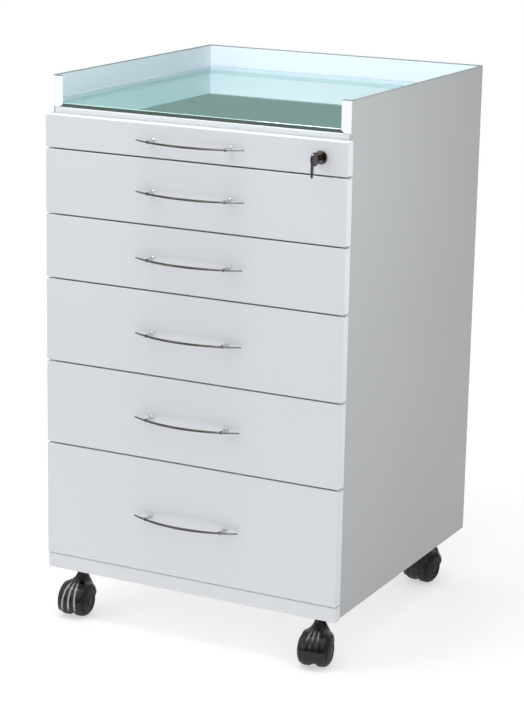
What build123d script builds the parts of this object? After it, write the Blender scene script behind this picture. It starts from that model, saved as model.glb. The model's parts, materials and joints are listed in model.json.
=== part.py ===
from build123d import *
import os
from math import sqrt, sin, cos, radians

os.makedirs("parts", exist_ok=True)

# ------------------------------------------------------------------ dimensions, mm
# y is given from the plane of the drawer fronts, positive towards the back; z from the floor.
FRONT_W = 500.0          # width of the drawer fronts
FRONT_T = 16.0           # depth of a front pan
HALF_CARCASS = 246.0     # carcass half width
CARCASS_Y = 17.0         # front edge of the carcass
BACK_Y = 510.0           # rear face of the carcass
BODY_Z = 77.0            # underside of the body
RIM_Z = 850.0            # top of the upstand
SHEET = 1.5              # carcass sheet
PAN_SHEET = 1.2          # drawer sheet
TOP_Z = 802.0            # top sheet under the glass
GLASS_T = 6.0
SEAL_W, SEAL_H = 1.6, 13.0
EAR_W, EAR_Z = 16.0, 802.0
RAIL_TOP = 100.5

# bottom and top of each front, then box bottom, box top and slide centre
DRAWERS = {
    1: (743.0, 793.0, 746.5, 777.0, 761.0),
    2: (643.0, 741.0, 648.0, 723.0, 680.0),
    3: (544.0, 641.0, 549.0, 624.0, 581.0),
    4: (414.0, 542.0, 419.0, 524.0, 461.0),
    5: (283.0, 412.0, 288.0, 393.0, 330.0),
    6: (101.5, 281.0, 106.0, 256.0, 150.0),
}
BOX_HALF = 231.8         # drawer box half width, outside
BOX_END = 456.0          # rear of the drawer box
SLIDE_Y0, SLIDE_Y1 = 27.0, 477.0

HANDLE_HALF = 90.0       # half length of the bow
POST_X = 64.0            # posts 128 mm apart
HANDLE_REACH = 32.0
SCREW_R = 2.0

LOCK_X, LOCK_Z = 207.8, 768.0

WHEEL_R = 25.0
WHEEL_LEAD = 22.0        # wheel axle ahead of the stem
WEB = 3.0                # half thickness of the hood's centre web
SHOULDER_X, SHOULDER_R = 13.0, 12.0
CASTORS = {              # stem x, stem y, angle the castor is turned
    "fl": (-209.0, 38.0, 4.0),
    "fr": (209.0, 36.0, 10.0),
    "rl": (-209.0, 456.0, 5.0),
    "rr": (209.0, 456.0, -10.0),
}

FRONT_Y = -(BACK_Y - HANDLE_REACH) / 2.0   # puts the origin midway between handles and back


def block(x0, x1, y0, y1, z0, z1, mode=Mode.ADD):
    with Locations(((x0 + x1) / 2, (y0 + y1) / 2 + FRONT_Y, (z0 + z1) / 2)):
        Box(abs(x1 - x0), y1 - y0, z1 - z0, mode=mode)


def rod_y(x, z, r, y0, y1, mode=Mode.ADD):
    with Locations((x, (y0 + y1) / 2 + FRONT_Y, z)):
        Cylinder(r, y1 - y0, rotation=(90, 0, 0), mode=mode)


def save(piece, name):
    piece.label = name
    export_step(piece, "parts/" + name + ".step")


# ------------------------------------------------------------------ side panels
def side_panel(s):
    """Folded side: sheet, front hem, ear beside the glass, rear flange."""
    h = HALF_CARCASS
    with BuildPart() as side:
        block(s * (h - SHEET), s * h, CARCASS_Y, BACK_Y, BODY_Z, RIM_Z)
        block(s * (h - 3.0), s * h, CARCASS_Y, CARCASS_Y + SHEET, BODY_Z, RIM_Z)
        block(s * (h - EAR_W), s * h, CARCASS_Y, CARCASS_Y + SHEET, EAR_Z, RIM_Z)
        block(s * (h - EAR_W), s * h, BACK_Y - SHEET, BACK_Y, BODY_Z, RIM_Z)
        # rounded lower and upper inner corners of the ear
        ear = side.edges().filter_by(Axis.Y).filter_by(
            lambda e: abs(abs(e.center().X) - (h - EAR_W)) < 0.01 and e.center().Y < 0)
        fillet(ear.sort_by(Axis.Z)[0], radius=8.0)
        ear = side.edges().filter_by(Axis.Y).filter_by(
            lambda e: abs(abs(e.center().X) - (h - EAR_W)) < 0.01 and e.center().Y < 0)
        fillet(ear.sort_by(Axis.Z)[-1], radius=2.0)
        # folded outer corners, front and rear
        bends = side.edges().filter_by(Axis.Z).filter_by(
            lambda e: abs(abs(e.center().X) - h) < 0.01)
        fillet(bends, radius=1.3)
    return side.part


save(side_panel(-1), "side_panel_left")
save(side_panel(1), "side_panel_right")

# ------------------------------------------------------------------ back panel, rear of the upstand
with BuildPart() as back:
    block(-244.4, 244.4, 507.0, 508.5, BODY_Z, RIM_Z)
save(back.part, "back_panel")

# ------------------------------------------------------------------ base pan with front rail and castor sockets
with BuildPart() as base:
    block(-244.4, 244.4, 18.6, 507.0, BODY_Z, BODY_Z + SHEET)
    rail_w = FRONT_W / 2 - 0.5
    block(-rail_w, rail_w, 1.5, CARCASS_Y, BODY_Z, RAIL_TOP)
    rim = base.edges().filter_by(
        lambda e: abs(e.center().Y - (1.5 + FRONT_Y)) < 0.01)
    fillet(rim, radius=1.5)
    block(-rail_w + PAN_SHEET, rail_w - PAN_SHEET, 1.5 + PAN_SHEET, CARCASS_Y - PAN_SHEET,
          BODY_Z + PAN_SHEET, RAIL_TOP - PAN_SHEET, mode=Mode.SUBTRACT)
    block(-242.9, 242.9, CARCASS_Y, CARCASS_Y + SHEET, BODY_Z, RAIL_TOP)
    block(-242.9, 242.9, CARCASS_Y, 19.0, BODY_Z, BODY_Z + SHEET)
    for cx, cy, turn in CASTORS.values():
        with Locations((cx, cy + FRONT_Y, BODY_Z)):
            Cylinder(9.0, 24.0, align=(Align.CENTER, Align.CENTER, Align.MIN))
            Cylinder(5.55, 60.0, mode=Mode.SUBTRACT)
save(base.part, "base_pan")

# ------------------------------------------------------------------ top panel, glass and its seal
with BuildPart() as top:
    block(-244.4, 244.4, 18.6, 507.0, TOP_Z - SHEET, TOP_Z)
    block(-242.9, 242.9, CARCASS_Y, 18.6, TOP_Z - SHEET, TOP_Z)
    block(-242.9, 242.9, CARCASS_Y, CARCASS_Y + SHEET, 779.0, TOP_Z)
    fold = top.edges().filter_by(Axis.X).filter_by(
        lambda e: abs(e.center().Y - (CARCASS_Y + FRONT_Y)) < 0.01).sort_by(Axis.Z)[-1]
    fillet(fold, radius=1.3)
    for s in (-1, 1):
        block(s * 242.9, s * 244.4, 18.6, 507.0, 784.0, TOP_Z - SHEET)
save(top.part, "top_panel")

SEAL_IN = 244.5 - SEAL_W
with BuildPart() as glass:
    block(-SEAL_IN + 0.1, SEAL_IN - 0.1, 18.6, 507.0 - SEAL_W - 0.1, TOP_Z, TOP_Z + GLASS_T)
    arris = glass.edges().filter_by(Axis.X).filter_by(
        lambda e: abs(e.center().Y - (18.6 + FRONT_Y)) < 0.01)
    chamfer(arris, length=0.6)
save(glass.part, "glass_top")

with BuildPart() as seal:
    block(-244.5, 244.5, 507.0 - SEAL_W, 507.0, TOP_Z, TOP_Z + SEAL_H)
    for s in (-1, 1):
        block(s * SEAL_IN, s * 244.5, 18.6, 507.0, TOP_Z, TOP_Z + SEAL_H)
    lip = seal.edges().filter_by(
        lambda e: abs(e.center().Z - (TOP_Z + SEAL_H)) < 0.01
        and abs(e.center().X) < SEAL_IN + 0.1 and e.center().Y < 505.6 + FRONT_Y
        and e.center().Y > 19.0 + FRONT_Y)
    chamfer(lip, length=0.8)
save(seal.part, "glass_seal")

# ------------------------------------------------------------------ telescopic slides


def channel(x_web, x_tip, half_h, zc, y0, y1, t=1.2):
    """C-shaped member: upright web from x_web, flanges reaching to x_tip."""
    s = 1 if x_web > 0 else -1
    w = 1 if abs(x_tip) > abs(x_web) else -1
    block(x_web, x_web + s * t * w, y0, y1, zc - half_h, zc + half_h)
    for e in (-1, 1):
        z0, z1 = sorted((zc + e * half_h, zc + e * (half_h - t)))
        block(x_web, x_tip, y0, y1, z0, z1)


with BuildPart() as outer:
    for bottom, topz, b0, b1, zc in DRAWERS.values():
        for s in (-1, 1):
            channel(s * 244.5, s * 234.0, 17.5, zc, SLIDE_Y0, SLIDE_Y1)
save(outer.part, "slide_outer_members")


# ------------------------------------------------------------------ drawers
def front_pan(n):
    z0, z1 = DRAWERS[n][:2]
    w = FRONT_W / 2
    zm = (z0 + z1) / 2
    with BuildPart() as pan:
        block(-w, w, 0.0, FRONT_T, z0, z1)
        corners = pan.edges().filter_by(Axis.Y)
        fillet(corners, radius=2.4)
        face_edges = pan.faces().sort_by(Axis.Y)[0].edges()
        fillet(face_edges, radius=1.5)
        block(-w + PAN_SHEET, w - PAN_SHEET, PAN_SHEET, FRONT_T - PAN_SHEET,
              z0 + PAN_SHEET, z1 - PAN_SHEET, mode=Mode.SUBTRACT)
        block(-w + 12.0, w - 12.0, FRONT_T - 2 * PAN_SHEET, FRONT_T + 1.0,
              z0 + 9.0, z1 - 9.0, mode=Mode.SUBTRACT)
        for s in (-1, 1):
            rod_y(s * POST_X, zm, SCREW_R + 0.05, -1.0, 3.0, mode=Mode.SUBTRACT)
        if n == 1:
            rod_y(LOCK_X, LOCK_Z, 7.05, -1.0, 3.0, mode=Mode.SUBTRACT)
    return pan.part


def drawer_box(n):
    z0, z1, b0, b1, zc = DRAWERS[n]
    zm = (z0 + z1) / 2
    t = PAN_SHEET
    with BuildPart() as box:
        block(-BOX_HALF, BOX_HALF, FRONT_T, BOX_END, b0, b1)
        block(-BOX_HALF + t, BOX_HALF - t, FRONT_T + t, BOX_END - t, b0 + t, b1 + 1.0,
              mode=Mode.SUBTRACT)
        # hemmed top edges of the two sides and the back
        for s in (-1, 1):
            block(s * (BOX_HALF - 2 * t), s * BOX_HALF, FRONT_T + t, BOX_END, b1 - 7.0, b1)
        block(-BOX_HALF + t, BOX_HALF - t, BOX_END - 2 * t, BOX_END, b1 - 7.0, b1)
        for s in (-1, 1):
            rod_y(s * POST_X, zm, SCREW_R + 0.05, FRONT_T - 1.0, FRONT_T + 4.0,
                  mode=Mode.SUBTRACT)
        if n == 1:
            rod_y(LOCK_X, LOCK_Z, 7.05, FRONT_T - 1.0, FRONT_T + 2.0, mode=Mode.SUBTRACT)
    return box.part


def bow_handle(n):
    """Bow that is thickest at the middle and tapers to free ends, on two posts."""
    z0, z1 = DRAWERS[n][:2]
    zm = (z0 + z1) / 2
    a = HANDLE_HALF
    with BuildPart() as bow:
        # plan view of the bow
        with BuildSketch(Plane.XY.offset(zm - 3.0)):
            with BuildLine():
                ThreePointArc((-a, -8.0 + FRONT_Y), (0, -HANDLE_REACH + FRONT_Y), (a, -8.0 + FRONT_Y))
                Line((a, -8.0 + FRONT_Y), (a, -5.0 + FRONT_Y))
                ThreePointArc((a, -5.0 + FRONT_Y), (0, -27.0 + FRONT_Y), (-a, -5.0 + FRONT_Y))
                Line((-a, -5.0 + FRONT_Y), (-a, -8.0 + FRONT_Y))
            make_face()
        extrude(amount=6.0)
        # front view: a slim lens, so the bow also tapers in height
        with BuildSketch(Plane.XZ.offset(-FRONT_Y)):
            with BuildLine():
                ThreePointArc((-a, zm + 1.0), (0, zm + 1.7), (a, zm + 1.0))
                Line((a, zm + 1.0), (a, zm - 1.0))
                ThreePointArc((a, zm - 1.0), (0, zm - 1.7), (-a, zm - 1.0))
                Line((-a, zm - 1.0), (-a, zm + 1.0))
            make_face()
        extrude(amount=40.0, mode=Mode.INTERSECT)
        fillet(bow.edges(), radius=0.8)
        for s in (-1, 1):
            rod_y(s * POST_X, zm, 3.0, -14.0, 0.0)
            rod_y(s * POST_X, zm, 4.0, -1.6, 0.0)
            with Locations((s * POST_X, -16.0 + FRONT_Y, zm)):
                Cone(3.0, 1.5, 4.0, rotation=(90, 0, 0))
        for s in (-1, 1):
            rod_y(s * POST_X, zm, SCREW_R + 0.05, -12.5, 1.0, mode=Mode.SUBTRACT)
    return bow.part


def handle_screws(n):
    z0, z1 = DRAWERS[n][:2]
    zm = (z0 + z1) / 2
    with BuildPart() as screws:
        for s in (-1, 1):
            rod_y(s * POST_X, zm, SCREW_R, -12.0, FRONT_T + PAN_SHEET + 0.5)
            rod_y(s * POST_X, zm, 4.0, FRONT_T + PAN_SHEET, FRONT_T + PAN_SHEET + 2.4)
        heads = screws.edges().filter_by(GeomType.CIRCLE).filter_by(
            lambda e: abs(e.radius - 4.0) < 0.01).sort_by(Axis.Y)[-2:]
        fillet(heads, radius=1.0)
    return screws.part


def slide_inner(n):
    zc = DRAWERS[n][4]
    with BuildPart() as member:
        for s in (-1, 1):
            channel(s * BOX_HALF, s * 239.0, 11.5, zc, SLIDE_Y0, SLIDE_Y1 - 10.0)
    return member.part


def slide_middle(n):
    zc = DRAWERS[n][4]
    with BuildPart() as member:
        for s in (-1, 1):
            channel(s * 241.7, s * 233.4, 14.5, zc, SLIDE_Y0 + 3.0, SLIDE_Y1 - 7.0)
    return member.part


for n in DRAWERS:
    tag = "drawer_%d_" % n
    save(front_pan(n), tag + "front")
    save(drawer_box(n), tag + "box")
    save(bow_handle(n), tag + "handle")
    save(handle_screws(n), tag + "handle_screws")
    save(slide_inner(n), tag + "slide_inner")
    save(slide_middle(n), tag + "slide_middle")

# ------------------------------------------------------------------ cam lock of the top drawer
with BuildPart() as barrel:
    rod_y(LOCK_X, LOCK_Z, 10.0, -2.0, 0.0)
    rod_y(LOCK_X, LOCK_Z, 7.0, -1.0, 20.3)
    ring_edge = barrel.edges().filter_by(GeomType.CIRCLE).sort_by(Axis.Y)[0]
    fillet(ring_edge, radius=1.2)
    rod_y(LOCK_X, LOCK_Z, 5.05, -3.0, 21.0, mode=Mode.SUBTRACT)
save(barrel.part, "lock_barrel")

with BuildPart() as nut:
    with BuildSketch(Plane.XZ.offset(-(FRONT_T + PAN_SHEET + FRONT_Y))):
        with Locations((LOCK_X, LOCK_Z)):
            RegularPolygon(radius=10.0, side_count=6)
    extrude(amount=-3.0)
    rod_y(LOCK_X, LOCK_Z, 7.05, 10.0, 25.0, mode=Mode.SUBTRACT)
save(nut.part, "lock_nut")

with BuildPart() as core:
    rod_y(LOCK_X, LOCK_Z, 5.0, -2.4, 20.4)
    rod_y(LOCK_X, LOCK_Z, 3.0, 20.0, 23.5)
    rod_y(LOCK_X, LOCK_Z, 4.4, 22.7, 24.4)
    block(LOCK_X - 1.05, LOCK_X + 1.05, -3.0, 14.0, LOCK_Z - 4.1, LOCK_Z + 4.1,
          mode=Mode.SUBTRACT)
save(core.part, "lock_core")

with BuildPart() as cam:
    with BuildSketch(Plane.XZ.offset(-(20.6 + FRONT_Y))):
        with Locations((LOCK_X, LOCK_Z)):
            Circle(6.5)
        with Locations((LOCK_X - 12.0, LOCK_Z)):
            Rectangle(24.0, 13.0)
        with Locations((LOCK_X, LOCK_Z)):
            Circle(3.02, mode=Mode.SUBTRACT)
    extrude(amount=-2.0)
    tip = cam.edges().filter_by(Axis.Y).sort_by(Axis.X)[:2]
    fillet(tip, radius=3.0)
save(cam.part, "lock_cam")

# Folding key: the flat blade ends in a tongue on a pin, and the round grip with its
# hanging tail folds about that pin.
HINGE_Y, GRIP_R = -21.0, 9.8
side_on = {"x_dir": (0, 1, 0), "z_dir": (1, 0, 0)}


def cross_rod(r, length, mode=Mode.ADD):
    with Locations((LOCK_X, HINGE_Y + FRONT_Y, LOCK_Z)):
        Cylinder(r, length, rotation=(0, 90, 0), mode=mode)


with BuildPart() as key:
    with BuildSketch(Plane(origin=(LOCK_X - 0.9, 0, 0), **side_on)):
        with Locations((HINGE_Y + FRONT_Y, LOCK_Z)):
            Circle(6.0)
        with Locations(((HINGE_Y + 13.5) / 2 + FRONT_Y, LOCK_Z)):
            Rectangle(13.5 - HINGE_Y, 7.6)
    extrude(amount=1.8)
    cross_rod(1.22, 6.0, mode=Mode.SUBTRACT)
save(key.part, "key")

with BuildPart() as pin:
    cross_rod(1.2, 5.6)
    fillet(pin.edges().filter_by(GeomType.CIRCLE), radius=0.3)
save(pin.part, "key_pin")

with BuildPart() as grip:
    with BuildSketch(Plane(origin=(LOCK_X - 2.5, 0, 0), **side_on)):
        with Locations((HINGE_Y + FRONT_Y, LOCK_Z)):
            Circle(GRIP_R)
    extrude(amount=5.0)
    fillet(grip.edges().filter_by(GeomType.CIRCLE), radius=1.2)
    with BuildSketch(Plane(origin=(LOCK_X - 1.4, 0, 0), **side_on)):
        with BuildLine():
            Polyline([(y + FRONT_Y, z) for y, z in (
                (-30.5, 768.0), (-30.3, 748.0), (-29.6, 743.6), (-28.6, 742.2), (-27.6, 743.2),
                (-26.4, 750.0), (-25.0, 762.0), (-24.0, 768.0))], close=True)
        make_face()
    extrude(amount=2.8)
    cross_rod(6.6, 2.1, mode=Mode.SUBTRACT)
    block(LOCK_X - 1.05, LOCK_X + 1.05, HINGE_Y - 4.1, HINGE_Y + 12.0, LOCK_Z - 4.1, LOCK_Z + 12.0,
          mode=Mode.SUBTRACT)
    cross_rod(1.25, 10.0, mode=Mode.SUBTRACT)
save(grip.part, "key_grip")

# ------------------------------------------------------------------ castors
with BuildPart() as stems:
    for cx, cy, turn in CASTORS.values():
        with Locations((cx, cy + FRONT_Y, 58.5)):
            Cylinder(4.0, 20.0, align=(Align.CENTER, Align.CENTER, Align.MIN))
        with Locations((cx, cy + FRONT_Y, 75.7)):
            Cylinder(6.5, BODY_Z - 75.7, align=(Align.CENTER, Align.CENTER, Align.MIN))
        with Locations((cx, cy + FRONT_Y, 76.0)):
            Cylinder(5.5, 24.0, align=(Align.CENTER, Align.CENTER, Align.MIN))
save(stems.part, "caster_stems")


def wheel_profile(gap, x_end):
    """Half section of the pair of wheels, grown by gap and cut off at x_end (mirrored in x)."""
    r = SHOULDER_R + gap
    y_end = WHEEL_R - SHOULDER_R + sqrt(r * r - (x_end - SHOULDER_X) ** 2)
    mx = SHOULDER_X + (x_end - SHOULDER_X) / 2
    my = WHEEL_R - SHOULDER_R + sqrt(r * r - (mx - SHOULDER_X) ** 2)
    Line((-SHOULDER_X, WHEEL_R + gap), (SHOULDER_X, WHEEL_R + gap))
    ThreePointArc((SHOULDER_X, WHEEL_R + gap), (mx, my), (x_end, y_end))
    Polyline((x_end, y_end), (x_end, 0), (-x_end, 0), (-x_end, y_end))
    ThreePointArc((-x_end, y_end), (-mx, my), (-SHOULDER_X, WHEEL_R + gap))


def castor_frame(name):
    cx, cy, deg = CASTORS[name]
    a = radians(deg)
    base_plane = Plane(origin=(cx, cy + FRONT_Y, 0), x_dir=(cos(a), sin(a), 0), z_dir=(0, 0, 1))
    hub = base_plane.from_local_coords(Vector(0, -WHEEL_LEAD, WHEEL_R))
    return base_plane, hub


def castor_hood(name):
    base_plane, hub = castor_frame(name)
    section = Plane(origin=hub, x_dir=base_plane.x_dir, z_dir=-base_plane.y_dir)
    spin = Axis(hub, base_plane.x_dir)
    with BuildPart(base_plane) as hood:
        with BuildSketch(section):
            with BuildLine():
                wheel_profile(4.0, 20.5)
            make_face()
        revolve(axis=spin)
        # neck that carries the swivel
        with Locations((0, 0, 40.0)):
            Cone(17.0, 6.5, 35.4, align=(Align.CENTER, Align.CENTER, Align.MIN))
        # wheel space
        with BuildSketch(section):
            with BuildLine():
                wheel_profile(1.3, 24.9)
            make_face()
        revolve(axis=spin, mode=Mode.SUBTRACT)
        # centre web
        with Locations((0, -WHEEL_LEAD, WHEEL_R)):
            Cylinder(WHEEL_R + 2.5, 2 * WEB, rotation=(0, 90, 0))
        # open towards the floor and low at the rear
        with Locations((0, 0, -5.0)):
            Box(80, 160, 32.0, mode=Mode.SUBTRACT)
        with Locations((0, -WHEEL_LEAD + 46.0, 12.0)):
            Box(80, 60, 24.0, mode=Mode.SUBTRACT)
        with Locations((0, -WHEEL_LEAD, WHEEL_R)):
            Cylinder(3.05, 60.0, rotation=(0, 90, 0), mode=Mode.SUBTRACT)
        with Locations((0, 0, 58.2)):
            Cylinder(4.05, 30.0, align=(Align.CENTER, Align.CENTER, Align.MIN), mode=Mode.SUBTRACT)
    return hood.part


def castor_wheels(name):
    base_plane, hub = castor_frame(name)
    section = Plane(origin=hub, x_dir=base_plane.x_dir, z_dir=-base_plane.y_dir)
    spin = Axis(hub, base_plane.x_dir)
    with BuildPart(base_plane) as wheels:
        for s in (-1, 1):
            with BuildSketch(section):
                with BuildLine():
                    Line((s * 4.6, 3.03), (s * 21.4, 3.03))
                    Polyline((s * 21.4, 3.03), (s * 21.4, 0), (s * 23.7, 0), (s * 23.7, 8.0),
                             (s * 25.0, 9.3), (s * 25.0, 13.0))
                    ThreePointArc((s * 25.0, 13.0), (s * (13 + 12 * 0.70710678), 13 + 12 * 0.70710678),
                                  (s * 13.0, 25.0))
                    Polyline((s * 13.0, 25.0), (s * 6.0, 25.0), (s * 4.6, 23.6), (s * 4.6, 3.03))
                make_face()
            revolve(axis=spin)
        with Locations((0, -WHEEL_LEAD, WHEEL_R)):
            Cylinder(3.0, 42.4, rotation=(0, 90, 0))
    return wheels.part


for name in CASTORS:
    save(castor_hood(name), "caster_" + name + "_hood")
    save(castor_wheels(name), "caster_" + name + "_wheels")
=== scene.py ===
import json
import math
import bpy
import bmesh
import numpy as np
from mathutils import Matrix, Vector


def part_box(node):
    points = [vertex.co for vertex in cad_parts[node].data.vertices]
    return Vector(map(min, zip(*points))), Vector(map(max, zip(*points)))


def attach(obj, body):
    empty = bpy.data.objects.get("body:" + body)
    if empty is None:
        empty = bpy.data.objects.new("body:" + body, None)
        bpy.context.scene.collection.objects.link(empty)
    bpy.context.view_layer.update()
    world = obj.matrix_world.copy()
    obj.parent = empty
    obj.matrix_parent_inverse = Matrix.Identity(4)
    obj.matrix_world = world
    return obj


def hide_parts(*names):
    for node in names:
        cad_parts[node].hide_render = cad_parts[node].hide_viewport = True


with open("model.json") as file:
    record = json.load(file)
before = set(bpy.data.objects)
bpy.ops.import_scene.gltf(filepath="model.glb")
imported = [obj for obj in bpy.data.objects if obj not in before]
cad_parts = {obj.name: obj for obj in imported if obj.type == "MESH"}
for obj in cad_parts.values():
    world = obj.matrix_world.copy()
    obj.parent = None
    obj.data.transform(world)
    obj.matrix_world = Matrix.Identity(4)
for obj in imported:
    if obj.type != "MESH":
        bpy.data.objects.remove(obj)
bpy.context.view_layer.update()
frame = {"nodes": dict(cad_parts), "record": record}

N = frame["nodes"]
scene = bpy.context.scene

# ------------------------------------------------------------------ camera, placed first
FRONT_Y = -0.239
W = 0.5


def make_camera():
    f_px, yaw, pitch, roll = 2208.0, math.radians(26.90), math.radians(14.47), math.radians(1.10)
    pos = Vector((3.062 * W, -5.559 * W + FRONT_Y, 2.379 * W + 0.077))
    fwd = Vector((-math.sin(yaw) * math.cos(pitch), math.cos(yaw) * math.cos(pitch), -math.sin(pitch)))
    right = Vector((math.cos(yaw), math.sin(yaw), 0.0))
    up = right.cross(fwd)
    r = right * math.cos(roll) + up * math.sin(roll)
    u = -right * math.sin(roll) + up * math.cos(roll)
    cam_data = bpy.data.cameras.new("camera")
    cam = bpy.data.objects.new("camera", cam_data)
    scene.collection.objects.link(cam)
    m = Matrix.Identity(4)
    for i in range(3):
        m[i][0], m[i][1], m[i][2], m[i][3] = r[i], u[i], -fwd[i], pos[i]
    cam.matrix_world = m
    cam_data.sensor_fit = "AUTO"
    cam_data.sensor_width = 36.0
    cam_data.lens = f_px * 36.0 / 720.0
    cam_data.clip_start = 0.05
    cam_data.clip_end = 200.0
    scene.camera = cam
    return cam


camera = make_camera()

# ------------------------------------------------------------------ node helpers


def new_material(name):
    m = bpy.data.materials.new(name)
    m.use_nodes = True
    nt = m.node_tree
    bsdf = nt.nodes.get("Principled BSDF")
    return m, nt, bsdf


def coords(nt, scale=(1, 1, 1)):
    tc = nt.nodes.new("ShaderNodeTexCoord")
    mp = nt.nodes.new("ShaderNodeMapping")
    mp.inputs["Scale"].default_value = scale
    nt.links.new(tc.outputs["Object"], mp.inputs["Vector"])
    return mp.outputs["Vector"]


def noise(nt, vec, scale, detail=2.0, rough=0.5):
    n = nt.nodes.new("ShaderNodeTexNoise")
    n.inputs["Scale"].default_value = scale
    n.inputs["Detail"].default_value = detail
    n.inputs["Roughness"].default_value = rough
    nt.links.new(vec, n.inputs["Vector"])
    return n.outputs["Fac"]


def ramp(nt, fac, stops):
    r = nt.nodes.new("ShaderNodeValToRGB")
    el = r.color_ramp.elements
    el[0].position, el[0].color = stops[0][0], stops[0][1]
    el[1].position, el[1].color = stops[-1][0], stops[-1][1]
    for pos, col in stops[1:-1]:
        e = el.new(pos)
        e.color = col
    nt.links.new(fac, r.inputs["Fac"])
    return r.outputs["Color"]


def map_range(nt, fac, lo, hi, from_lo=0.0, from_hi=1.0):
    n = nt.nodes.new("ShaderNodeMapRange")
    n.inputs["From Min"].default_value = from_lo
    n.inputs["From Max"].default_value = from_hi
    n.inputs["To Min"].default_value = lo
    n.inputs["To Max"].default_value = hi
    nt.links.new(fac, n.inputs["Value"])
    return n.outputs["Result"]


def bump(nt, height, strength, distance):
    b = nt.nodes.new("ShaderNodeBump")
    b.inputs["Strength"].default_value = strength
    b.inputs["Distance"].default_value = distance
    nt.links.new(height, b.inputs["Height"])
    return b.outputs["Normal"]


def c4(r, g, b):
    return (r, g, b, 1.0)


def enamel(name, col_a, col_b, rough=0.22, coat=0.5, coat_rough=0.06, peel=0.035):
    """Sprayed enamel on sheet metal: faint tone changes and a fine orange peel."""
    m, nt, b = new_material(name)
    v = coords(nt)
    tone = noise(nt, v, 3.2, 3.0)
    nt.links.new(ramp(nt, tone, [(0.3, c4(*col_a)), (0.7, c4(*col_b))]), b.inputs["Base Color"])
    r = noise(nt, v, 11.0, 4.0)
    nt.links.new(map_range(nt, r, rough * 0.85, rough * 1.2), b.inputs["Roughness"])
    fine = noise(nt, v, 520.0, 1.0)
    n1 = bump(nt, fine, peel, 0.0004)
    nt.links.new(n1, b.inputs["Normal"])
    b.inputs["Coat Weight"].default_value = coat
    b.inputs["Coat Roughness"].default_value = coat_rough
    return m


def metal(name, col_a, col_b, rough, grain=None, bump_s=0.05):
    """Plated metal with fine brush lines along one axis."""
    m, nt, b = new_material(name)
    v = coords(nt, grain or (1, 1, 1))
    n = noise(nt, v, 260.0, 3.0, 0.6)
    nt.links.new(ramp(nt, n, [(0.25, c4(*col_a)), (0.75, c4(*col_b))]), b.inputs["Base Color"])
    nt.links.new(map_range(nt, n, rough * 0.8, rough * 1.25), b.inputs["Roughness"])
    nt.links.new(bump(nt, n, bump_s, 0.0002), b.inputs["Normal"])
    b.inputs["Metallic"].default_value = 1.0
    return m


def plastic(name, col_a, col_b, rough, grain_scale=900.0, grain=0.08, coat=0.0):
    m, nt, b = new_material(name)
    v = coords(nt)
    n = noise(nt, v, 60.0, 4.0)
    nt.links.new(ramp(nt, n, [(0.3, c4(*col_a)), (0.7, c4(*col_b))]), b.inputs["Base Color"])
    nt.links.new(map_range(nt, n, rough * 0.85, rough * 1.2), b.inputs["Roughness"])
    nt.links.new(bump(nt, noise(nt, v, grain_scale, 2.0), grain, 0.0002), b.inputs["Normal"])
    b.inputs["Coat Weight"].default_value = coat
    b.inputs["Coat Roughness"].default_value = 0.08
    return m


def absolute_x(nt, x0, x1):
    """0 to 1 as the distance from the middle of the cabinet grows from x0 to x1."""
    tc = nt.nodes.new("ShaderNodeTexCoord")
    sep = nt.nodes.new("ShaderNodeSeparateXYZ")
    nt.links.new(tc.outputs["Object"], sep.inputs["Vector"])
    ab = nt.nodes.new("ShaderNodeMath")
    ab.operation = "ABSOLUTE"
    nt.links.new(sep.outputs["X"], ab.inputs[0])
    return map_range(nt, ab.outputs[0], 0.0, 1.0, x0, x1)


def bow_material():
    """Dark plated bow, painted lighter towards its two ends round the posts as a painted reflection, with fine lines
    along the bar.
    """
    m, nt, b = new_material("handle_bow_painted_reflection")
    v = coords(nt, (0.12, 1, 1))
    n = noise(nt, v, 300.0, 3.0, 0.6)
    mid = ramp(nt, n, [(0.25, c4(0.078, 0.072, 0.062)), (0.75, c4(0.120, 0.112, 0.099))])
    # painted reflection: a lighter tone towards the two ends, round the posts, mixed in by distance from the middle
    end = ramp(nt, n, [(0.25, c4(0.190, 0.183, 0.172)), (0.75, c4(0.260, 0.252, 0.240))])
    mix = nt.nodes.new("ShaderNodeMix")
    mix.data_type = "RGBA"
    nt.links.new(absolute_x(nt, 0.055, 0.090), mix.inputs["Factor"])
    nt.links.new(mid, mix.inputs["A"])
    nt.links.new(end, mix.inputs["B"])
    nt.links.new(mix.outputs["Result"], b.inputs["Base Color"])
    nt.links.new(map_range(nt, n, 0.18, 0.28), b.inputs["Roughness"])
    nt.links.new(bump(nt, n, 0.05, 0.0002), b.inputs["Normal"])
    b.inputs["Metallic"].default_value = 1.0
    return m


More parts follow.
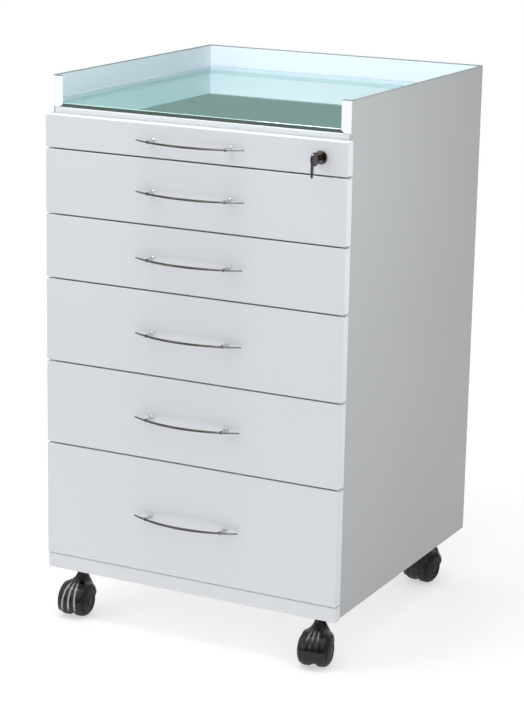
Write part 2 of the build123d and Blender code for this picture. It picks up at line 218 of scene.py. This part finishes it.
def glass_material():
    """Green float glass over the white top sheet: pale body, deep green on its edges, and a painted highlight along
    the chamfered top edge.
    """
    m, nt, b = new_material("green_glass")
    geo = nt.nodes.new("ShaderNodeNewGeometry")
    sep = nt.nodes.new("ShaderNodeSeparateXYZ")
    nt.links.new(geo.outputs["Normal"], sep.inputs["Vector"])
    v = coords(nt)
    tone = noise(nt, v, 5.0, 2.0)
    face = ramp(nt, tone, [(0.3, c4(*GLASS_FACE[0])), (0.7, c4(*GLASS_FACE[1]))])
    edge = ramp(nt, tone, [(0.3, c4(0.010, 0.038, 0.024)), (0.7, c4(0.018, 0.058, 0.040))])
    # painted highlight: the chamfered top edge takes a pale mint colour in place of the light it catches
    arris_painted_highlight = ramp(nt, tone, [(0.3, c4(0.52, 0.78, 0.70)), (0.7, c4(0.58, 0.84, 0.76))])
    lower = nt.nodes.new("ShaderNodeMix")
    lower.data_type = "RGBA"
    nt.links.new(map_range(nt, sep.outputs["Z"], 0.0, 1.0, 0.25, 0.55), lower.inputs["Factor"])
    nt.links.new(edge, lower.inputs["A"])
    nt.links.new(arris_painted_highlight, lower.inputs["B"])
    mix = nt.nodes.new("ShaderNodeMix")
    mix.data_type = "RGBA"
    nt.links.new(map_range(nt, sep.outputs["Z"], 0.0, 1.0, 0.90, 0.98), mix.inputs["Factor"])
    nt.links.new(lower.outputs["Result"], mix.inputs["A"])
    nt.links.new(face, mix.inputs["B"])
    nt.links.new(mix.outputs["Result"], b.inputs["Base Color"])
    nt.links.new(map_range(nt, noise(nt, v, 30.0, 3.0), 0.02, 0.05), b.inputs["Roughness"])
    b.inputs["IOR"].default_value = 1.80
    nt.links.new(map_range(nt, sep.outputs["Z"], 0.05, 1.0, 0.90, 0.98), b.inputs["Coat Weight"])
    b.inputs["Coat Roughness"].default_value = 0.01
    return m


GLASS_FACE = ((0.018, 0.222, 0.166), (0.026, 0.246, 0.188))


def seal_material():
    """Silicone bead round the glass: pale on its face, darker on its upward-facing top."""
    m = plastic("seal_silicone", (0.66, 0.75, 0.80), (0.70, 0.79, 0.84), 0.55, 700.0, 0.02)
    nt = m.node_tree
    b = nt.nodes["Principled BSDF"]
    b.inputs["Specular IOR Level"].default_value = 0.2
    geo = nt.nodes.new("ShaderNodeNewGeometry")
    sep = nt.nodes.new("ShaderNodeSeparateXYZ")
    nt.links.new(geo.outputs["Normal"], sep.inputs["Vector"])
    # darker towards the upward-facing top of the bead
    k = nt.nodes.new("ShaderNodeMix")
    k.data_type = "RGBA"
    nt.links.new(map_range(nt, sep.outputs["Z"], 0.0, 1.0, 0.2, 0.6), k.inputs["Factor"])
    nt.links.new(b.inputs["Base Color"].links[0].from_socket, k.inputs["A"])
    nt.links.new(ramp(nt, noise(nt, coords(nt), 90.0, 3.0), [(0.3, c4(0.30, 0.36, 0.40)), (0.7, c4(0.36, 0.42, 0.46))]), k.inputs["B"])
    nt.links.new(k.outputs["Result"], b.inputs["Base Color"])
    return m


def upstand_enamel_painted_light(name, axis, sign):
    """Panel enamel: painted darker than the body enamel as painted shade outside, painted lighter and bluer as
    painted light on the inside of the upstand, painted near white as a painted highlight on the front ear faces, with
    a thin painted shade line along the top edge.
    """
    m = enamel(name, PANEL_PAINTED_SHADE[0], PANEL_PAINTED_SHADE[1], 0.34, 0.12, 0.12, 0.006)
    nt = m.node_tree
    b = nt.nodes.get("Principled BSDF")
    b.inputs["Specular IOR Level"].default_value = 0.30
    v = coords(nt)
    geo = nt.nodes.new("ShaderNodeNewGeometry")
    nrm = nt.nodes.new("ShaderNodeSeparateXYZ")
    nt.links.new(geo.outputs["Normal"], nrm.inputs["Vector"])
    pos = nt.nodes.new("ShaderNodeSeparateXYZ")
    tc = nt.nodes.new("ShaderNodeTexCoord")
    nt.links.new(tc.outputs["Object"], pos.inputs["Vector"])
    above = map_range(nt, pos.outputs["Z"], 0.0, 1.0, 0.8015, 0.8025)

    def both(a, c):
        k = nt.nodes.new("ShaderNodeMath")
        k.operation = "MULTIPLY"
        nt.links.new(a, k.inputs[0])
        nt.links.new(c, k.inputs[1])
        return k.outputs[0]

    def layer(fac, under, over):
        k = nt.nodes.new("ShaderNodeMix")
        k.data_type = "RGBA"
        nt.links.new(fac, k.inputs["Factor"])
        nt.links.new(under, k.inputs["A"])
        nt.links.new(over, k.inputs["B"])
        return k.outputs["Result"]

    inner = map_range(nt, nrm.outputs[axis], 0.0, 1.0, 0.3 * sign, 0.7 * sign)
    front = map_range(nt, nrm.outputs["Y"], 0.0, 1.0, -0.6, -0.9)
    tone = noise(nt, v, 4.0, 3.0)
    plain = b.inputs["Base Color"].links[0].from_socket
    # painted light: the inside of the upstand above the top sheet is lighter and bluer than the outside
    inside = ramp(nt, tone, [(0.3, c4(0.800, 0.828, 0.895)), (0.7, c4(0.830, 0.855, 0.920))])
    # painted highlight: the front-facing ear faces above the top sheet are painted near white
    ears_painted_highlight = ramp(nt, tone, [(0.3, c4(0.955, 0.965, 0.975)), (0.7, c4(0.975, 0.985, 0.995))])
    col = layer(both(inner, above), plain, inside)
    if axis != "Y":
        col = layer(both(front, above), col, ears_painted_highlight)
    # painted shade: a thin dark grey line along the top edge of the upstand
    rim_painted_shade = map_range(nt, pos.outputs["Z"], 0.0, 1.0, RIM_TOP - 0.0020, RIM_TOP - 0.0015)
    col = layer(rim_painted_shade, col, ramp(nt, tone, [(0.3, c4(0.27, 0.275, 0.28)), (0.7, c4(0.33, 0.335, 0.34))]))
    nt.links.new(col, b.inputs["Base Color"])
    return m


RIM_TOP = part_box("back_panel")[1].z
# painted shade: the panels' enamel is set darker than body_enamel, which is the same paint
PANEL_PAINTED_SHADE = ((0.440, 0.450, 0.455), (0.462, 0.472, 0.478))

MAT = {
    "front_paint": enamel("front_enamel", (0.705, 0.722, 0.748), (0.728, 0.745, 0.770), 0.24, 0.5, 0.08, 0.006),
    "body_paint": enamel("body_enamel", (0.740, 0.750, 0.760), (0.760, 0.770, 0.780), 0.28, 0.35, 0.10, 0.006),
    "box_paint": enamel("box_enamel", (0.70, 0.71, 0.725), (0.73, 0.74, 0.755), 0.38, 0.15, 0.15, 0.02),
    "glass": glass_material(),
    "seal": seal_material(),
    "handle_metal": bow_material(),
    "handle_post": metal("handle_post", (0.62, 0.63, 0.65), (0.70, 0.71, 0.73), 0.34),
    "slide_steel": metal("slide_zinc", (0.55, 0.56, 0.58), (0.68, 0.69, 0.71), 0.32, (1, 0.1, 1)),
    "lock_metal": metal("lock_nickel", (0.085, 0.072, 0.068), (0.150, 0.130, 0.122), 0.16),
    "key_dark": plastic("key_dark", (0.006, 0.005, 0.005), (0.012, 0.010, 0.010), 0.14, 600.0, 0.02, 0.2),
    "hood_plastic": plastic("hood_nylon", (0.002, 0.002, 0.0025), (0.005, 0.005, 0.006), 0.13, 800.0, 0.01, 0.0),
    "wheel_plastic": plastic("wheel_nylon", (0.006, 0.006, 0.007), (0.013, 0.013, 0.015), 0.50, 900.0, 0.10),
}


MAT["hood_plastic"].node_tree.nodes["Principled BSDF"].inputs["Specular IOR Level"].default_value = 0.38
MAT["wheel_plastic"].node_tree.nodes["Principled BSDF"].inputs["Specular IOR Level"].default_value = 0.30
MAT["glass"].node_tree.nodes["Principled BSDF"].inputs["Coat IOR"].default_value = 1.85


def paint(obj, slot):
    obj.data.materials.clear()
    obj.data.materials.append(MAT[slot])


for entry in frame["record"]["subparts"]:
    paint(N[entry["node"]], entry["material_slot"])
# side and back panels: painted shade outside, painted light inside the upstand, painted highlight on the front ear
# faces
for node, axis, sign in (("side_panel_left", "X", 1), ("side_panel_right", "X", -1), ("back_panel", "Y", -1)):
    N[node].data.materials[0] = upstand_enamel_painted_light(node + "_enamel", axis, sign)

# ------------------------------------------------------------------ mesh helpers


def add_mesh(name, verts, faces, slot, body, smooth=True, angle=40.0):
    me = bpy.data.meshes.new(name)
    me.from_pydata([tuple(v) for v in verts], [], faces)
    bm = bmesh.new()
    bm.from_mesh(me)
    bmesh.ops.remove_doubles(bm, verts=bm.verts, dist=1e-7)
    bmesh.ops.recalc_face_normals(bm, faces=bm.faces)
    bm.to_mesh(me)
    bm.free()
    for p in me.polygons:
        p.use_smooth = smooth
    if smooth:
        me.set_sharp_from_angle(angle=math.radians(angle))
    ob = bpy.data.objects.new(name, me)
    scene.collection.objects.link(ob)
    me.materials.append(MAT[slot])
    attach(ob, body)
    return ob


def rings_to_faces(n_rings, n_seg, start=0, caps=True):
    faces = []
    for i in range(n_rings - 1):
        for j in range(n_seg):
            a = start + i * n_seg + j
            b = start + i * n_seg + (j + 1) % n_seg
            faces.append((a, b, b + n_seg, a + n_seg))
    if caps:
        faces.append(tuple(start + j for j in range(n_seg))[::-1])
        faces.append(tuple(start + (n_rings - 1) * n_seg + j for j in range(n_seg)))
    return faces


def revolve(profile, origin, axis, side, n_seg=64, closed=True):
    """profile is [(along axis, radius)]; side is a unit vector across the axis."""
    axis = Vector(axis).normalized()
    side = Vector(side).normalized()
    third = axis.cross(side)
    verts, faces = [], []
    for a, r in profile:
        for j in range(n_seg):
            t = 2 * math.pi * j / n_seg
            verts.append(Vector(origin) + axis * a + (side * math.cos(t) + third * math.sin(t)) * r)
    n = len(profile)
    rows = n if closed else n - 1
    for i in range(rows):
        i2 = (i + 1) % n
        for j in range(n_seg):
            j2 = (j + 1) % n_seg
            faces.append((i * n_seg + j, i * n_seg + j2, i2 * n_seg + j2, i2 * n_seg + j))
    return verts, faces


def arc_pts(cx, cy, r, a0, a1, n):
    return [(cx + r * math.cos(math.radians(a0 + (a1 - a0) * i / n)),
             cy + r * math.sin(math.radians(a0 + (a1 - a0) * i / n))) for i in range(n + 1)]


def mesh_object(name, me, slot, body, angle=40.0):
    for p in me.polygons:
        p.use_smooth = True
    me.set_sharp_from_angle(angle=math.radians(angle))
    me.materials.clear()
    me.materials.append(MAT[slot])
    ob = bpy.data.objects.new(name, me)
    scene.collection.objects.link(ob)
    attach(ob, body)
    return ob


def temp_object(verts, faces):
    me = bpy.data.meshes.new("temp")
    me.from_pydata([tuple(v) for v in verts], [], faces)
    bm = bmesh.new()
    bm.from_mesh(me)
    bmesh.ops.remove_doubles(bm, verts=bm.verts, dist=1e-7)
    bmesh.ops.dissolve_degenerate(bm, edges=bm.edges, dist=1e-8)
    bmesh.ops.recalc_face_normals(bm, faces=bm.faces)
    bm.to_mesh(me)
    bm.free()
    ob = bpy.data.objects.new("temp", me)
    scene.collection.objects.link(ob)
    return ob


def baked(ob):
    """The object's mesh with its modifiers applied; the object itself goes."""
    bpy.context.view_layer.update()
    dg = bpy.context.evaluated_depsgraph_get()
    me = bpy.data.meshes.new_from_object(ob.evaluated_get(dg))
    bpy.data.objects.remove(ob)
    return me


def union(first, others):
    for i, o in enumerate(others):
        m = first.modifiers.new("u%d" % i, "BOOLEAN")
        m.operation = "UNION"
        m.solver = "EXACT"
        m.object = o
    me = baked(first)
    for o in others:
        bpy.data.objects.remove(o)
    return me


# ------------------------------------------------------------------ bow handles
MM = 0.001
HANDLE_HALF, POST_X = 90.0, 64.0
OUT_MID, OUT_END, IN_MID, IN_END = -32.0, -8.0, -27.0, -5.0
H_MID, H_END = 1.7, 1.0


def sag(mid, end, x):
    s, a = abs(end - mid), HANDLE_HALF
    r = (a * a + s * s) / (2 * s)
    return mid + r - math.sqrt(r * r - x * x)


def handle_mesh(zc):
    """One lofted bow with rounded ends and two turned posts, as a single closed mesh."""
    seg, verts, count = 26, [], 0
    xs = [-HANDLE_HALF * math.cos(math.pi * i / 90.0) for i in range(91)]
    nose = 2.2
    for x in xs:
        xx = max(-HANDLE_HALF + 0.02, min(HANDLE_HALF - 0.02, x))
        yo, yi = sag(OUT_MID, OUT_END, xx), sag(IN_MID, IN_END, xx)
        yc, d = (yo + yi) / 2, (yi - yo) / 2
        h = H_END + (H_MID - H_END) * (1 - (xx / HANDLE_HALF) ** 2)
        over = (abs(xx) - (HANDLE_HALF - nose)) / nose
        k = math.sqrt(max(0.0, 1 - over * over)) if over > 0 else 1.0
        k = max(k, 0.10)
        slope = (sag((OUT_MID + IN_MID) / 2, (OUT_END + IN_END) / 2, min(xx + 0.01, HANDLE_HALF)) -
                 sag((OUT_MID + IN_MID) / 2, (OUT_END + IN_END) / 2, xx - 0.01)) / 0.02
        t = Vector((1, slope, 0)).normalized()
        nrm = Vector((-t.y, t.x, 0))
        for j in range(seg):
            a = 2 * math.pi * j / seg
            ca, sa = math.cos(a), math.sin(a)
            e = 2.0 / 2.5
            px = math.copysign(abs(ca) ** e, ca) * d * k
            pz = math.copysign(abs(sa) ** e, sa) * h * k
            shift = min(1.0, (HANDLE_HALF - abs(xx)) / 4.0)
            p = Vector((xx, yc, 0)) + nrm * px * (0.6 + 0.4 * shift) + Vector((0, 0, pz))
            p.x = max(-HANDLE_HALF, min(HANDLE_HALF, p.x))
            verts.append((p.x * MM, p.y * MM + FRONT_Y, p.z * MM + zc))
    bow = temp_object(verts, rings_to_faces(len(xs), seg))
    posts = []
    for s in (-1, 1):
        x = s * POST_X
        reach = -(sag(OUT_MID, OUT_END, x) + sag(IN_MID, IN_END, x)) / 2
        prof = [(0, 0), (0, 3.9), (0.5, 3.9), (0.9, 3.75), (1.3, 3.35), (2.0, 2.95), (3.2, 2.75),
                (reach * 0.5, 2.7), (reach - 1.0, 2.75), (reach - 0.2, 2.6), (reach, 2.3), (reach, 0)]
        v, f = revolve([(p[0] * MM, p[1] * MM) for p in prof], (x * MM, FRONT_Y, zc), (0, -1, 0), (1, 0, 0), 28)
        posts.append(temp_object(v, f))
    return union(bow, posts)


for n in range(1, 7):
    lo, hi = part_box("drawer_%d_handle" % n)
    zc = (lo.z + hi.z) / 2
    me = handle_mesh(zc)
    ob = mesh_object("handle_%d_shaped" % n, me, "handle_metal", "drawer_%d" % n, 50.0)
    me.materials.append(MAT["handle_post"])
    for p in me.polygons:
        if p.center.y > FRONT_Y - 0.0165 and abs(abs(p.center.x) - POST_X * MM) < 0.0045:
            p.material_index = 1
    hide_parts("drawer_%d_handle" % n)

# ------------------------------------------------------------------ castors
CASTORS = {"fl": (-209.0, 38.0, 4.0), "fr": (209.0, 36.0, 10.0), "rl": (-209.0, 456.0, 5.0), "rr": (209.0, 456.0, -10.0)}
LEAD, WHEEL_R = 22.0, 25.0


def surface_nets(f, origin, h):
    """Closed quad mesh of the zero level of a sampled distance field."""
    inside = f < 0
    nx, ny, nz = f.shape
    sl = lambda a, d: tuple(slice(d[i], a.shape[i] - 1 + d[i]) for i in range(3))
    corners = [(i, j, k) for i in (0, 1) for j in (0, 1) for k in (0, 1)]
    total = sum(inside[sl(inside, c)].astype(np.int8) for c in corners)
    active = (total > 0) & (total < 8)
    idx = -np.ones(active.shape, np.int64)
    idx[active] = np.arange(int(active.sum()))
    cells = np.argwhere(active)
    pos, cnt = np.zeros((len(cells), 3)), np.zeros(len(cells))
    for a in corners:
        for axis in range(3):
            if a[axis]:
                continue
            b = list(a)
            b[axis] = 1
            fa, fb = f[sl(f, a)][active], f[sl(f, tuple(b))][active]
            m = (fa < 0) != (fb < 0)
            t = fa[m] / (fa[m] - fb[m])
            p = np.tile(np.array(a, float), (int(m.sum()), 1))
            p[:, axis] += t
            pos[m] += p
            cnt[m] += 1
    verts = (pos / cnt[:, None] + cells) * h + np.array(origin)
    faces = []
    for axis in range(3):
        u, v = [(1, 2), (2, 0), (0, 1)][axis]
        lo = [slice(None)] * 3
        hi = [slice(None)] * 3
        lo[axis], hi[axis] = slice(0, -1), slice(1, None)
        a, b = inside[tuple(lo)], inside[tuple(hi)]
        e = np.argwhere(a != b)
        ok = (e[:, u] > 0) & (e[:, v] > 0) & (e[:, u] < f.shape[u] - 1) & (e[:, v] < f.shape[v] - 1)
        e = e[ok]
        first_inside = a[tuple(e.T)]
        quad = []
        for du, dv in ((-1, -1), (0, -1), (0, 0), (-1, 0)):
            c = e.copy()
            c[:, u] += du
            c[:, v] += dv
            quad.append(idx[tuple(c.T)])
        q = np.stack(quad, 1)
        q[~first_inside] = q[~first_inside][:, ::-1]
        faces.append(q)
    return verts, np.concatenate(faces)


def smin(a, b, k):
    h = np.clip(0.5 + 0.5 * (b - a) / k, 0, 1)
    return b * (1 - h) + a * h - k * h * (1 - h)


def smax(a, b, k):
    return -smin(-a, -b, k)


def hood_field(h=0.75):
    """Castor hood in its own frame, mm: stem on the Z axis, wheel axle at y = -22, z = 25."""
    lo = np.array([-22.5, -53.2, 9.0])
    n = [int(round(v / h)) + 1 for v in (45.0, 73.5, 67.5)]
    ax = [lo[i] + h * np.arange(n[i]) for i in range(3)]
    x, y, z = np.meshgrid(*ax, indexing="ij")
    qy, qz = y + LEAD, z - WHEEL_R
    rho = np.sqrt(qy * qy + qz * qz)
    ang = np.degrees(np.arctan2(qz, -qy))
    over = np.clip(np.abs(x) - 13.0, 0, 13.2)
    r_in = np.where(np.abs(x) < 13, 26.35, 13 + np.sqrt(np.clip(13.35 ** 2 - over ** 2, 0, None)))
    # three raised ribs start together at the neck and spread to the front lip
    spread = np.interp(ang, [-40, 0, 40, 75, 110], [1.0, 0.97, 0.82, 0.55, 0.35])
    u = np.clip(x / spread, -16.5, 16.5)
    groove = 0.5 - 0.5 * np.cos(2 * np.pi * u / 11.0)
    r_out = 29.0 - 1.9 * (np.abs(x) / 20.5) ** 2.4 - 0.95 * groove * np.interp(ang, [-40, 70, 115, 150], [1, 1, 0, 0])
    outer = smax(rho - r_out, np.abs(x) - 20.5, 2.2)
    axial = np.sqrt(x * x + y * y)
    flare = np.interp(z, [36, 40, 44, 48, 52, 56, 60, 64, 68, 72, 75.4, 90], [16.6, 16.4, 15.7, 14.4, 12.8, 11.1, 9.5, 8.1, 7.0, 6.1, 5.6, 5.6])
    neck = np.maximum(np.maximum((axial - flare) * 0.9, z - 75.4), 36.0 - z)
    solid = smin(outer, neck, 13.0)
    solid = np.maximum(solid, z - 75.4)
    solid = np.maximum(solid, r_in - rho)
    web = smax(np.abs(x) - 3.0, rho - 27.5, 0.5)
    solid = np.minimum(solid, web)
    solid = smax(solid, 11.0 - z, 0.8)
    solid = smax(solid, -np.maximum(-6.0 - y, z - 24.0), 0.8)
    solid = np.maximum(solid, np.where(z > 58.2, 4.1 - axial, -9.0))
    solid = np.maximum(solid, 3.4 - rho)
    return solid, lo, h


def rib_highlight_weight(v, reach_low, reach_high):
    """How close each point of the hood lies to the crest of one of its three ribs, 0 to 1, used as the weight of the
    painted highlight.
    """
    qy, qz = v[:, 1] + LEAD, v[:, 2] - WHEEL_R
    rho = np.hypot(qy, qz)
    ang = np.degrees(np.arctan2(qz, -qy))
    spread = np.interp(ang, [-40, 0, 40, 75, 110], [1.0, 0.97, 0.82, 0.55, 0.35])
    u = v[:, 0] / spread
    near = np.min(np.abs(u[:, None] - np.array([-11.0, 0.0, 11.0])[None, :]), axis=1) * spread
    w = np.exp(-(near / 1.25) ** 2)
    w *= np.interp(ang, [reach_low - 8, reach_low + 6, reach_high - 8, reach_high + 8], [0, 1, 1, 0])
    return w * (rho > 26.9)


def hood_material_painted_highlight():
    """Near black moulded nylon, with a painted highlight on the crests of its ribs."""
    m = plastic("hood_nylon_painted_rib_highlight", (0.003, 0.003, 0.0035), (0.007, 0.007, 0.008), 0.16, 800.0, 0.01, 0.0)
    nt = m.node_tree
    b = nt.nodes["Principled BSDF"]
    b.inputs["Specular IOR Level"].default_value = 0.42
    at = nt.nodes.new("ShaderNodeAttribute")
    at.attribute_name = "rib_painted_highlight"
    v = coords(nt)
    # painted highlight: the vertex attribute mixes a light grey into the near black base
    k = nt.nodes.new("ShaderNodeMix")
    k.data_type = "RGBA"
    nt.links.new(at.outputs["Fac"], k.inputs["Factor"])
    nt.links.new(b.inputs["Base Color"].links[0].from_socket, k.inputs["A"])
    nt.links.new(ramp(nt, noise(nt, v, 220.0, 3.0), [(0.3, c4(0.36, 0.365, 0.37)), (0.7, c4(0.62, 0.625, 0.63))]), k.inputs["B"])
    nt.links.new(k.outputs["Result"], b.inputs["Base Color"])
    return m


HOOD = hood_material_painted_highlight()
hood_verts, hood_faces = surface_nets(*hood_field())
# painted highlight per castor (angle from, angle to, gain): on the front-left castor it is stronger and reaches
# further round the hood than on the other three
RIB_HIGHLIGHTS = {"fl": (-18.0, 78.0, 1.0), "fr": (48.0, 84.0, 0.55), "rl": (48.0, 84.0, 0.55), "rr": (48.0, 84.0, 0.55)}


def wheel_profile(s):
    p = [(4.8, 3.2), (4.8, 22.8), (5.2, 23.8), (5.9, 24.5), (6.5, 24.9), (7.2, 25.0), (8.2, 25.0), (8.5, 24.5),
         (8.9, 24.5), (9.2, 25.0), (10.6, 25.0), (10.9, 24.5), (11.3, 24.5), (11.6, 25.0)]
    p += arc_pts(13.0, 13.0, 12.0, 90, 12, 16)
    p += [(24.6, 14.9), (24.2, 14.5), (23.8, 14.0), (23.7, 13.2), (23.9, 12.5), (24.4, 12.0), (24.6, 11.3),
          (24.55, 9.8), (24.3, 9.2), (23.8, 8.9), (23.5, 8.4), (23.5, 7.8), (23.9, 7.4), (24.4, 7.1),
          (24.7, 6.5), (24.85, 4.0), (24.9, 0.0), (21.7, 0.0), (21.7, 3.2)]
    return [(s * a * MM, r * MM) for a, r in p]


AXLE = [(-21.1, 0), (-21.1, 2.4), (-20.5, 3.0), (20.5, 3.0), (21.1, 2.4), (21.1, 0)]


for tag, (cx, cy, deg) in CASTORS.items():
    a = math.radians(deg)
    rot = Matrix.Rotation(a, 3, "Z")
    base = Vector((cx * MM, cy * MM + FRONT_Y, 0))
    me = bpy.data.meshes.new("hood_" + tag)
    co = (np.array(rot) @ (hood_verts * MM).T).T + np.array(base)
    me.from_pydata(co.tolist(), [], hood_faces.tolist())
    hood = mesh_object("caster_%s_hood_shaped" % tag, me, "hood_plastic", "caster_%s_swivel" % tag, 60.0)
    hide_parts("caster_%s_hood" % tag)
    # painted highlight weights stored on the hood's vertices
    lo_a, hi_a, gain = RIB_HIGHLIGHTS[tag]
    layer_rib_highlight = me.attributes.new("rib_painted_highlight", "FLOAT", "POINT")
    layer_rib_highlight.data.foreach_set("value", (rib_highlight_weight(hood_verts, lo_a, hi_a) * gain).astype(np.float32))
    me.materials[0] = HOOD
    hub = base + rot @ Vector((0, -LEAD * MM, WHEEL_R * MM))
    verts, faces = [], []
    for s in (-1, 1):
        v, f = revolve(wheel_profile(s), hub, rot @ Vector((1, 0, 0)), rot @ Vector((0, 0, 1)), 96)
        faces += [tuple(i + len(verts) for i in q) for q in f]
        verts += v
    v, f = revolve([(p[0] * MM, p[1] * MM) for p in AXLE], hub, rot @ Vector((1, 0, 0)), rot @ Vector((0, 0, 1)), 32)
    faces += [tuple(i + len(verts) for i in q) for q in f]
    verts += v
    wheels = add_mesh("caster_%s_wheels_shaped" % tag, verts, faces, "wheel_plastic", "caster_%s_wheelset" % tag, True, 35.0)
    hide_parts("caster_%s_wheels" % tag)

# ------------------------------------------------------------------ floor and light


def make_stage():
    mesh = bpy.data.meshes.new("floor")
    s = 60.0
    mesh.from_pydata([(-s, -s, 0), (s, -s, 0), (s, s, 0), (-s, s, 0)], [], [(0, 1, 2, 3)])
    floor = bpy.data.objects.new("floor", mesh)
    scene.collection.objects.link(floor)
    m, nt, b = new_material("floor")
    b.inputs["Base Color"].default_value = (0.52, 0.52, 0.52, 1)
    b.inputs["Emission Color"].default_value = (1.0, 1.0, 1.0, 1)
    b.inputs["Emission Strength"].default_value = 0.54
    b.inputs["Roughness"].default_value = 0.7
    b.inputs["Specular IOR Level"].default_value = 0.2
    mesh.materials.append(m)


def area(name, loc, target, size, power, color=(1, 1, 1)):
    d = bpy.data.lights.new(name, "AREA")
    d.shape = "RECTANGLE"
    d.size, d.size_y = size
    d.energy = power
    d.color = color
    o = bpy.data.objects.new(name, d)
    scene.collection.objects.link(o)
    o.location = loc
    o.rotation_euler = (Vector(target) - Vector(loc)).to_track_quat("-Z", "Y").to_euler()
    return o


def make_world():
    """Bright soft ceiling over a darker low band, which is darker still towards +X."""
    w = bpy.data.worlds.new("studio")
    scene.world = w
    w.use_nodes = True
    nt = w.node_tree
    bg = nt.nodes.get("Background")
    tc = nt.nodes.new("ShaderNodeTexCoord")
    sep = nt.nodes.new("ShaderNodeSeparateXYZ")
    nt.links.new(tc.outputs["Generated"], sep.inputs["Vector"])
    top = map_range(nt, sep.outputs["Z"], 0.28, 1.38, 0.20, 0.75)
    right = map_range(nt, sep.outputs["X"], 1.0, 0.22, 0.02, 0.70)
    mul = nt.nodes.new("ShaderNodeMath")
    mul.operation = "MULTIPLY"
    nt.links.new(top, mul.inputs[0])
    nt.links.new(right, mul.inputs[1])
    nt.links.new(mul.outputs[0], bg.inputs["Strength"])
    bg.inputs["Color"].default_value = (0.975, 0.985, 1.0, 1)


make_stage()
make_world()
area("front_strip", (-2.10, -2.80, 1.50), (-0.1, -0.25, 0.55), (0.14, 1.9), 9.0, (1.0, 0.995, 0.99))
area("side_fill", (0.95, -0.25, 0.82), (0.25, -0.75, 0.78), (0.3, 0.3), 2.45, (0.97, 0.985, 1.0))
area("tray_fill", (-0.05, -0.265, 1.55), (-0.02, 0.22, 0.83), (0.4, 0.4), 7.5, (0.90, 0.95, 1.0))
area("tray_fill_left", (0.12, -0.02, 1.70), (-0.12, 0.08, 0.80), (0.5, 0.5), 1.9, (0.90, 0.95, 1.0))

scene.view_settings.view_transform = "Standard"
scene.view_settings.look = "None"

# ------------------------------------------------------------------ the closing line
bpy.context.view_layer.update()
